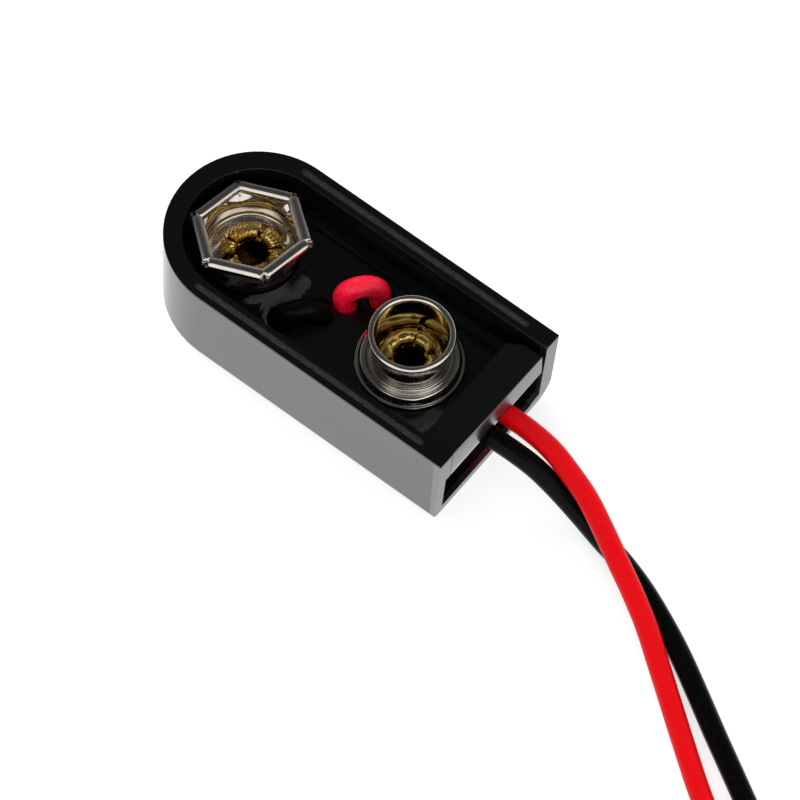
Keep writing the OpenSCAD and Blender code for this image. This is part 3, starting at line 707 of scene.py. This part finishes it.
def bulge(path, sizes):  # moves the legs of a loop sideways, above its holes
    first, second = (np.array(foot) for foot in sizes["feet"])
    low, top, over = sizes["bulgeFrom"], sizes["top"] + 0.01, sizes["bulgeOver"]
    along = (second - first) / np.linalg.norm(second - first)
    offset = (path[:, :2] - (first + second) / 2) @ along
    rise = np.clip((path[:, 2] - low) / (top - low), 0, 1)
    moved = path.copy()
    shift = np.interp(offset, (-over, over), (-sizes["bulgeLeft"], sizes["bulgeRight"]))
    moved[:, :2] += (shift * np.sin(np.pi * rise ** sizes["bulgePower"]) * (rise < 1))[:, None] * along
    return moved


def addInside(name, path, material, replaced, sizes):
    mesh = tubeMesh(name, path, sizes["diameter"] / 2, sizes["around"])
    addPiece(name, mesh, material, replaced)


addInside("redInside", bulge(insidePath(redSizes), redSizes), litLoopInsulation,
          ["red_inner_wire"], redSizes)
addInside("blackInside", insidePath(blackSizes), blackInsulation,
          ["black_inner_wire"], blackSizes)
print("inner wires laid")


# Mouldings: the frame's own shapes with their edges rounded

mouldSizes = {
    "merge": 0.002,
    "flat": 1.0,
    "upright": 0.02,
    "edge": 0.07,
    "steps": 3,
    "angle": 28,
}


def finishMesh(piece):  # the object's modifiers are made part of its mesh
    graph = bpy.context.evaluated_depsgraph_get()
    mesh = bpy.data.meshes.new_from_object(piece.evaluated_get(graph))
    piece.modifiers.clear()
    piece.data = mesh
    return mesh


def levelNormals(mesh, upright):  # upright walls are shaded as upright to their very edges
    normals = [corner.vector.copy() for corner in mesh.corner_normals]
    for face in mesh.polygons:
        if abs(face.normal.z) > upright:
            continue
        for i in face.loop_indices:
            normals[i].z = 0.0
            normals[i].normalize()
    mesh.normals_split_custom_set(normals)


def addMoulding(name, node, material, sizes):
    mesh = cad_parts[node].data.copy()
    mesh.name = name
    loose = bmesh.new()
    loose.from_mesh(mesh)
    bmesh.ops.remove_doubles(loose, verts=loose.verts, dist=sizes["merge"] * mm)
    bmesh.ops.dissolve_limit(loose, angle_limit=math.radians(sizes["flat"]), verts=loose.verts,
                             edges=loose.edges)
    loose.to_mesh(mesh)
    loose.free()
    piece = bpy.data.objects.new(name, mesh)
    scene.collection.objects.link(piece)
    mesh.materials.clear()
    mesh.materials.append(material)
    mesh.polygons.foreach_set("use_smooth", [True] * len(mesh.polygons))
    bevel = piece.modifiers.new("edges", "BEVEL")
    bevel.width = sizes["edge"] * mm
    bevel.segments = sizes["steps"]
    bevel.limit_method = "ANGLE"
    bevel.angle_limit = math.radians(sizes["angle"])
    bevel.use_clamp_overlap = True
    bevel.harden_normals = True
    levelNormals(finishMesh(piece), sizes["upright"])
    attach(piece, "root")
    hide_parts(node)


addMoulding("cup", "shell", shellPlastic, mouldSizes)
addMoulding("contactCarrier", "carrier", carrierPlastic, mouldSizes)
print("mouldings finished")


# Turned shapes

def arcPoints(middle, radius, start, end, steps):
    angles = np.radians(np.linspace(start, end, steps))
    return [(middle[0] + radius * math.cos(angle), middle[1] + radius * math.sin(angle)) for angle in angles]


def latheMesh(name, outline, centre, around=144):  # a closed outline of radius and height, turned about Z
    rows = len(outline)
    points = [(centre[0] + r * math.cos(a), centre[1] + r * math.sin(a), z)
              for a in fullTurn(around) for r, z in outline]
    faces = []
    for k in range(around):
        here, there = k * rows, (k + 1) % around * rows
        faces += [(here + i, there + i, there + (i + 1) % rows, here + (i + 1) % rows) for i in range(rows)]
    mesh = toMesh(name, points, faces)
    turned = bmesh.new()
    turned.from_mesh(mesh)
    bmesh.ops.recalc_face_normals(turned, faces=turned.faces)
    turned.to_mesh(mesh)
    turned.free()
    return mesh


studSizes = {
    "centre": (5.56, 0.0),
    "base": 4.2,
    "lipRadius": 2.76,
    "lip": 0.44,
    "height": 3.75,
    "waist": 2.42,
    "flange": 3.5,
    "brim": 0.25,
    "brimTop": [(3.3, 0.26), (3.25, 0.31)],
    "dome": 0.36,
    "domeAt": (2.9, 0.5),
    "fillet": 0.2,
    "filletAt": (2.6635, 1.007),
    "waistLine": [(2.47, 1.35), (2.42, 1.9), (2.42, 2.3), (2.45, 2.75), (2.51, 3.1)],
    "innerLine": [(2.2, 3.0), (2.17, 2.3), (2.17, 0.6)],
    "innerBend": 0.3,
    "sheet": 0.25,
    "hole": 1.25,
}


def studOutline(sizes):  # radius and height; heights in the sizes are above the base
    z0, sheet, bend = sizes["base"], sizes["sheet"], sizes["innerBend"]
    lipR, brimR = sizes["lip"] / 2, sizes["brim"] / 2

    def raised(*points):
        return [(r, z0 + z) for r, z in points]

    outline = raised((sizes["hole"], 0.02), (sizes["hole"] + 0.02, 0))
    outline += arcPoints((sizes["flange"] - brimR, z0 + brimR), brimR, -90, 90, 9)
    outline += raised(*sizes["brimTop"])
    outline += arcPoints(raised(sizes["domeAt"])[0], sizes["dome"], -10, 115, 18)
    outline += arcPoints(raised(sizes["filletAt"])[0], sizes["fillet"], 295, 180, 12)[1:]
    outline += raised(*sizes["waistLine"])
    outline += arcPoints((sizes["lipRadius"] - lipR, z0 + sizes["height"] - lipR), lipR, -35, 200, 18)
    outline += raised(*sizes["innerLine"])
    outline += arcPoints((sizes["waist"] - sheet - bend, z0 + sheet + bend), bend, 0, -90, 7)
    outline += raised((sizes["hole"] + 0.05, sheet), (sizes["hole"], sheet - 0.04))
    return outline


addPiece("stud", latheMesh("stud", studOutline(studSizes), studSizes["centre"]), pittedNickel,
         ["stud_contact"], sharp=50)


# Hexagonal socket: one sheet, round at the foot and split into six petals with rolled edges

socketSizes = {
    "centre": (-7.14, 0.0),
    "base": 4.2,
    "corner": 4.12,
    "turn": 21.3,
    "height": 3.0,
    "roll": 0.86,
    "rollEnd": 1.86,
    "dome": 0.2,
    "sheet": 0.2,
    "slitTop": 0.13,
    "slitFoot": 0.05,
    "slitFrom": 0.8,
    "slitRadius": 3.3,
    "slitRoll": 0.4,
    "foot": 3.1,
    "footBend": 0.35,
    "petalFoot": 3.05,
    "ringFoot": 3.02,
    "ringSpread": 0.3,
    "flatBy": 0.75,
    "petalRows": 12,
    "rollSteps": 5,
    "dishLine": [(1.9, 0.0), (2.4, 0.01)],
    "wallLine": [(0.0, 0.3), (0.01, 0.55)],
    "sink": 0.4,
    "hole": 1.4,
    "riseX": 6.0,
    "riseY": -4.0,
    "columns": 18,
}


def ease(value):
    value = min(1.0, max(0.0, value))
    return value * value * (3 - 2 * value)


def socketRows(sizes):  # petal rows: blend to the hexagon, apothem, radius, height and half slit
    rollR = sizes["roll"] / 2
    rollAt = sizes["corner"] * math.cos(math.pi / 6) - rollR
    rollZ = sizes["height"] - rollR
    reach = rollR - sizes["sheet"] / 2
    rows = []
    for t in np.linspace(0, 1, sizes["petalRows"] + 1)[1:]:
        z = sizes["slitFrom"] + t * (rollZ - sizes["slitFrom"])
        apothem = sizes["petalFoot"] + t * (rollAt + reach - sizes["petalFoot"])
        radius = sizes["ringFoot"] + sizes["ringSpread"] * t
        gap = sizes["slitFoot"] + t * (sizes["slitTop"] - sizes["slitFoot"])
        rows.append((ease(t / sizes["flatBy"]), apothem, radius, z, gap))
    for angle in np.radians(15 * np.arange(1, sizes["rollSteps"] + 1)):
        rows.append((1.0, rollAt + reach * math.cos(angle), 0.0, rollZ + reach * math.sin(angle),
                     sizes["slitRoll"]))
    return rows, (rollAt, rollZ)


def socketMesh(sizes):
    half, bend, columns = sizes["sheet"] / 2, sizes["footBend"], sizes["columns"]
    around = 6 * columns
    low, wall = half - sizes["sink"], sizes["foot"] - half
    dish = [(sizes["hole"], low)] + [(r, low + z) for r, z in sizes["dishLine"]]
    dish += arcPoints((wall - bend, low + bend), bend, -80, 0, 7)
    dish += [(wall + r, z) for r, z in sizes["wallLine"]] + [(sizes["ringFoot"], sizes["slitFrom"])]
    points, faces = [], []
    for r, z in dish:
        points += ringPoints((0, 0), r, z, around)
    for i in range(len(dish) - 1):
        faces += bandFaces(i * around, (i + 1) * around, around)
    top = (len(dish) - 1) * around
    for petal in range(6):
        middle = math.radians(60 * petal + 30)
        below = [top + (petal * columns + k) % around for k in range(columns + 1)]
        for blend, apothem, radius, z, gap in socketRows(sizes)[0]:
            here = []
            for k in range(columns + 1):
                u = 2 * k / columns - 1
                turn = u * (math.pi / 6 - gap / sizes["slitRadius"])
                bent = (radius * math.cos(turn), radius * math.sin(turn))
                flat = (apothem, u * (sizes["corner"] / 2 - gap))
                x = bent[0] + (flat[0] - bent[0]) * blend
                y = bent[1] + (flat[1] - bent[1]) * blend
                here.append(len(points))
                points.append((*spun(x, y, middle), z, blend))
            faces += [(below[k], below[k + 1], here[k + 1], here[k]) for k in range(columns)]
            below = here
    return placeSocket("socket", points, faces, sizes)


def placeSocket(name, points, faces, sizes):  # turned, moved to its place, and slightly tilted at the top
    turn = math.radians(sizes["turn"])
    slopeX, slopeY = math.tan(math.radians(sizes["riseX"])), math.tan(math.radians(sizes["riseY"]))
    placed = []
    for point in points:
        x, y = spun(point[0], point[1], turn)
        lift = (x * slopeX + y * slopeY) * (point[3] if len(point) > 3 else 0)
        placed.append((x + sizes["centre"][0], y + sizes["centre"][1], point[2] + lift + sizes["base"]))
    return toMesh(name, placed, faces)


def rollsMesh(sizes):  # the six rolled edges, each a bar with domed ends
    radius, end, dome = sizes["roll"] / 2, sizes["rollEnd"], sizes["dome"]
    rollAt, rollZ = socketRows(sizes)[1]
    angles = np.linspace(0, math.pi / 2, 7)
    outline = [(-end + dome - dome * math.cos(a), math.sin(a)) for a in angles[1:]]
    outline += [(y, 1.0) for y in np.linspace(-end + dome, end - dome, 15)[1:-1]]
    outline += [(end - dome + dome * math.cos(a), math.sin(a)) for a in angles[:0:-1]]
    around = 32
    points, faces = [], []
    for petal in range(6):
        middle = math.radians(60 * petal + 30)
        base = len(points)
        ring = [(-end, 0.0, 0.0)]
        ring += [(y, share * radius * math.cos(a), share * radius * math.sin(a))
                 for y, share in outline for a in fullTurn(around)]
        ring.append((end, 0.0, 0.0))
        for y, out, up in ring:
            points.append((*spun(rollAt + out, y, middle), rollZ + up, 1.0))
        last = base + len(ring) - 1
        faces += [(base, base + 1 + k, base + 1 + (k + 1) % around) for k in range(around)]
        for r in range(len(outline) - 1):
            low = base + 1 + r * around
            faces += [(low + k, low + around + k, low + around + (k + 1) % around, low + (k + 1) % around)
                      for k in range(around)]
        low = last - around
        faces += [(low + k, last, low + (k + 1) % around) for k in range(around)]
    return placeSocket("rolls", points, faces, sizes)


def addSheetPiece(name, mesh, thickness, material, replaced, sharp=40, extra=None):
    sheet = bpy.data.objects.new(name, mesh)
    scene.collection.objects.link(sheet)
    solid = sheet.modifiers.new("thickness", "SOLIDIFY")
    solid.thickness = thickness * mm
    solid.offset = 0
    solid.use_even_offset = True
    finished = finishMesh(sheet)
    bpy.data.objects.remove(sheet)
    if extra:
        joined = bmesh.new()
        joined.from_mesh(finished)
        joined.from_mesh(extra)
        bmesh.ops.recalc_face_normals(joined, faces=joined.faces)
        joined.to_mesh(finished)
        joined.free()
    return addPiece(name, finished, material, replaced, sharp)


addSheetPiece("socket", socketMesh(socketSizes), socketSizes["sheet"], nickel, ["hex_contact"],
              extra=rollsMesh(socketSizes))


# Rivets: a barrel, closed at its head, whose upper end is burst into ribbed, torn petals

rivetSizes = {
    "radius": 1.2,
    "wall": 0.22,
    "head": 2.0,
    "headZ": 2.75,
    "floorZ": 2.9,
    "floor": 0.98,
    "around": 96,
    "rows": 20,
    "column": 2.5,
    "straight": 0.25,
    "below": 0.05,
    "curlEnd": -35.0,
    "ragged": 14.0,
    "reach": (0.9, 1.08),
    "ribs": 10.0,
    "ribUneven": (0.6, 1.4),
    "ribDepth": 0.04,
    "ribFrom": 0.4,
}
socketRivetSizes = dict(rivetSizes, centre=(-6.95, 0), top=4.05, rise=0.1, burst=4.4, seed=3,
                        cuts=[(41, 10), (105, 16), (190, 12), (240, 20), (300, 16), (355, 16)])
studRivetSizes = dict(rivetSizes, centre=(5.56, 0), top=4.45, rise=0.25, burst=3.9, seed=8, ribs=34.0,
                      ribDepth=0.03, cuts=[(48, 20), (111, 7), (232, 18), (300, 22)])


def rivetMesh(name, sizes):
    random = np.random.default_rng(sizes["seed"])
    centre, top, around, rows = sizes["centre"], sizes["top"], sizes["around"], sizes["rows"]
    middle = sizes["radius"] - sizes["wall"] / 2
    curl = (sizes["burst"] / 2 - sizes["wall"] / 2 - middle) / 2
    curlZ = top + 0.02 + sizes["rise"]
    straight, foot = sizes["straight"], top - sizes["below"]
    points, faces = [], []
    rings = [(sizes["head"], sizes["headZ"]), (middle, sizes["headZ"]), (middle, top + 0.1),
             (sizes["floor"] * middle, sizes["floorZ"])]
    for r, z in rings:
        points += ringPoints(centre, r, z, around)
    points.append((*centre, sizes["floorZ"]))
    for base in (0, around):  # head and barrel
        faces += [(base + (k + 1) % around, base + k, base + around + k, base + around + (k + 1) % around)
                  for k in range(around)]
    faces += [(3 * around + k, 3 * around + (k + 1) % around, 4 * around) for k in range(around)]
    cuts = sizes["cuts"]
    for (angle, width), after in zip(cuts, cuts[1:] + [(cuts[0][0] + 360, cuts[0][1])]):
        first = angle + width / 2
        last = after[0] - after[1] / 2
        columns = max(8, int((last - first) / sizes["column"]))
        reach = curl * random.uniform(*sizes["reach"])
        ragged = random.normal(0, sizes["ragged"], columns + 1)
        ragged = np.convolve(np.pad(ragged, 1, mode="edge"), (0.25, 0.5, 0.25), mode="valid")
        phase = random.uniform(0, 6)
        steps = random.uniform(*sizes["ribUneven"], columns + 1)
        waves = phase + np.cumsum(steps) * 2 * math.pi * sizes["column"] / sizes["ribs"]
        base = len(points)
        for i in range(rows + 1):
            t = i / rows
            for k in range(columns + 1):
                bearing = math.radians(first + (last - first) * k / columns)
                if t < straight:
                    r, z, way = middle, foot + (curlZ - foot) * t / straight, math.pi
                else:
                    turned = (t - straight) / (1 - straight)
                    way = math.radians(180 + (sizes["curlEnd"] + ragged[k] - 180) * turned)
                    r = middle + reach + reach * math.cos(way)
                    z = curlZ + reach * math.sin(way)
                rib = sizes["ribDepth"] * math.sin(waves[k]) * ease(t / sizes["ribFrom"])
                r += rib * math.cos(way)
                z += rib * math.sin(way)
                points.append((centre[0] + r * math.cos(bearing), centre[1] + r * math.sin(bearing), z))
        wide = columns + 1
        faces += [(base + i * wide + k + 1, base + i * wide + k, base + (i + 1) * wide + k,
                   base + (i + 1) * wide + k + 1) for i in range(rows) for k in range(columns)]
    return toMesh(name, points, faces)


addSheetPiece("socketRivet", rivetMesh("socketRivet", socketRivetSizes), rivetSizes["wall"], brass,
              ["hex_rivet"])
addSheetPiece("studRivet", rivetMesh("studRivet", studRivetSizes), rivetSizes["wall"], studBrass,
              ["stud_rivet"])
print("contacts and rivets formed")


# Stripped ends of the leads: twisted strands, made once as a node tree and placed twice

strandSizes = {
    "strands": 7,
    "wire": 0.135,
    "lay": 0.262,
    "turns": 1.6,
    "length": 5.0,
    "alongSteps": 26,
    "sides": 8,
}


def makeStrandTree(sizes, material):
    tree = bpy.data.node_groups.new("twistedStrands", "GeometryNodeTree")
    tree.interface.new_socket(name="Geometry", in_out="OUTPUT", socket_type="NodeSocketGeometry")
    tree.interface.new_socket(name="Strands", in_out="INPUT", socket_type="NodeSocketInt")
    for label in ("Wire radius", "Lay radius", "Turns", "Length"):
        tree.interface.new_socket(name=label, in_out="INPUT", socket_type="NodeSocketFloat")
    given = tree.nodes.new("NodeGroupInput").outputs
    helix = addNode(tree, "GeometryNodeCurveSpiral", {
        "Resolution": sizes["alongSteps"], "Rotations": given["Turns"], "Start Radius": given["Lay radius"],
        "End Radius": given["Lay radius"], "Height": given["Length"]})
    section = addNode(tree, "GeometryNodeCurvePrimitiveCircle",
                      {"Resolution": sizes["sides"], "Radius": given["Wire radius"]})
    strand = addNode(tree, "GeometryNodeCurveToMesh", {
        "Curve": helix.outputs[0], "Profile Curve": section.outputs["Curve"], "Fill Caps": True})
    line = addNode(tree, "GeometryNodeMeshLine", {"Count": given["Strands"]}, mode="OFFSET")
    line.inputs["Offset"].default_value = (0, 0, 0)
    number = addNode(tree, "GeometryNodeInputIndex").outputs[0]
    step = maths(tree, "DIVIDE", 2 * math.pi, given["Strands"])
    spin = addNode(tree, "ShaderNodeCombineXYZ", {"Z": times(tree, number, step)})
    placed = addNode(tree, "GeometryNodeInstanceOnPoints", {
        "Points": line.outputs[0], "Instance": strand.outputs[0], "Rotation": spin.outputs[0]})
    core = addNode(tree, "GeometryNodeCurvePrimitiveLine")
    end = addNode(tree, "ShaderNodeCombineXYZ", {"Z": given["Length"]})
    tree.links.new(end.outputs[0], core.inputs["End"])
    middle = addNode(tree, "GeometryNodeCurveToMesh", {
        "Curve": core.outputs[0], "Profile Curve": section.outputs["Curve"], "Fill Caps": True})
    joined = addNode(tree, "GeometryNodeJoinGeometry")
    tree.links.new(placed.outputs[0], joined.inputs[0])
    tree.links.new(middle.outputs[0], joined.inputs[0])
    whole = addNode(tree, "GeometryNodeRealizeInstances", {0: joined.outputs[0]})
    dressed = addNode(tree, "GeometryNodeSetMaterial", {"Geometry": whole.outputs[0]})
    dressed.inputs["Material"].default_value = material
    tree.links.new(dressed.outputs[0], tree.nodes.new("NodeGroupOutput").inputs[0])
    return tree


def addTip(name, node, start, heading, tree, sizes):
    maker = bpy.data.objects.new(name, bpy.data.meshes.new(name))
    scene.collection.objects.link(maker)
    modifier = maker.modifiers.new("strands", "NODES")
    modifier.node_group = tree
    values = {"Strands": sizes["strands"] - 1, "Wire radius": sizes["wire"] * mm,
              "Lay radius": sizes["lay"] * mm, "Turns": sizes["turns"], "Length": sizes["length"] * mm}
    for item in tree.interface.items_tree:
        if item.in_out == "INPUT":
            modifier[item.identifier] = values[item.name]
    mesh = finishMesh(maker)
    bpy.data.objects.remove(maker)
    turn = Vector(heading).to_track_quat("Z", "Y").to_matrix().to_4x4()
    mesh.transform(Matrix.Translation(Vector(start) * mm) @ turn)
    return addPiece(name, mesh, tinnedCopper, [node])


strandTree = makeStrandTree(strandSizes, tinnedCopper)
for colour, node, path in (("red", "red_tip", redPath), ("black", "black_tip", blackPath)):
    heading = path[-1] - path[-3]
    addTip(colour + "Tip", node, path[-1], heading, strandTree, strandSizes)
print("stripped ends twisted")


# Tie round the two coils

tieSizes = {
    "coilMiddle": leadSizes["coilMiddle"],
    "angle": 75.0,
    "inner": 5.55,
    "outer": 9.5,
    "low": 0.02,
    "high": 3.16,
    "thickness": 0.12,
    "width": 2.0,
    "round": 0.6,
    "steps": 6,
}


def tieMesh(sizes):
    low, high = sizes["low"] + sizes["thickness"] / 2, sizes["high"] - sizes["thickness"] / 2
    inner, outer, bend = sizes["inner"], sizes["outer"], sizes["round"]
    loop = arcPoints((outer - bend, high - bend), bend, 90, 0, 7)
    loop += arcPoints((outer - bend, low + bend), bend, 0, -90, 7)
    loop += arcPoints((inner + bend, low + bend), bend, 270, 180, 7)
    loop += arcPoints((inner + bend, high - bend), bend, 180, 90, 7)
    ahead = outward(math.radians(sizes["angle"]))[:2]
    aside = np.array((-ahead[1], ahead[0]))
    steps, count = sizes["steps"], len(loop)
    points, faces = [], []
    for i in range(steps + 1):
        across = (i / steps - 0.5) * sizes["width"]
        for r, z in loop:
            x, y = np.array(sizes["coilMiddle"]) + ahead * r + aside * across
            points.append((x, y, z))
    for i in range(steps):
        faces += bandFaces(i * count, (i + 1) * count, count)
    return toMesh("tie", points, faces)


tie = addSheetPiece("tie", tieMesh(tieSizes), tieSizes["thickness"], tiePlastic, ["lead_tie"])


# What stays as the frame has it, under the carrier, gets its finish

finishes = {
    "hex_tag": tinnedBrass,
    "stud_tag": tinnedBrass,
    "red_bare_end": tinnedCopper,
    "black_bare_end": tinnedCopper,
    "red_solder": solderMetal,
    "black_solder": solderMetal,
}
for node, material in finishes.items():
    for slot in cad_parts[node].material_slots:
        slot.material = material
print("pieces finished")
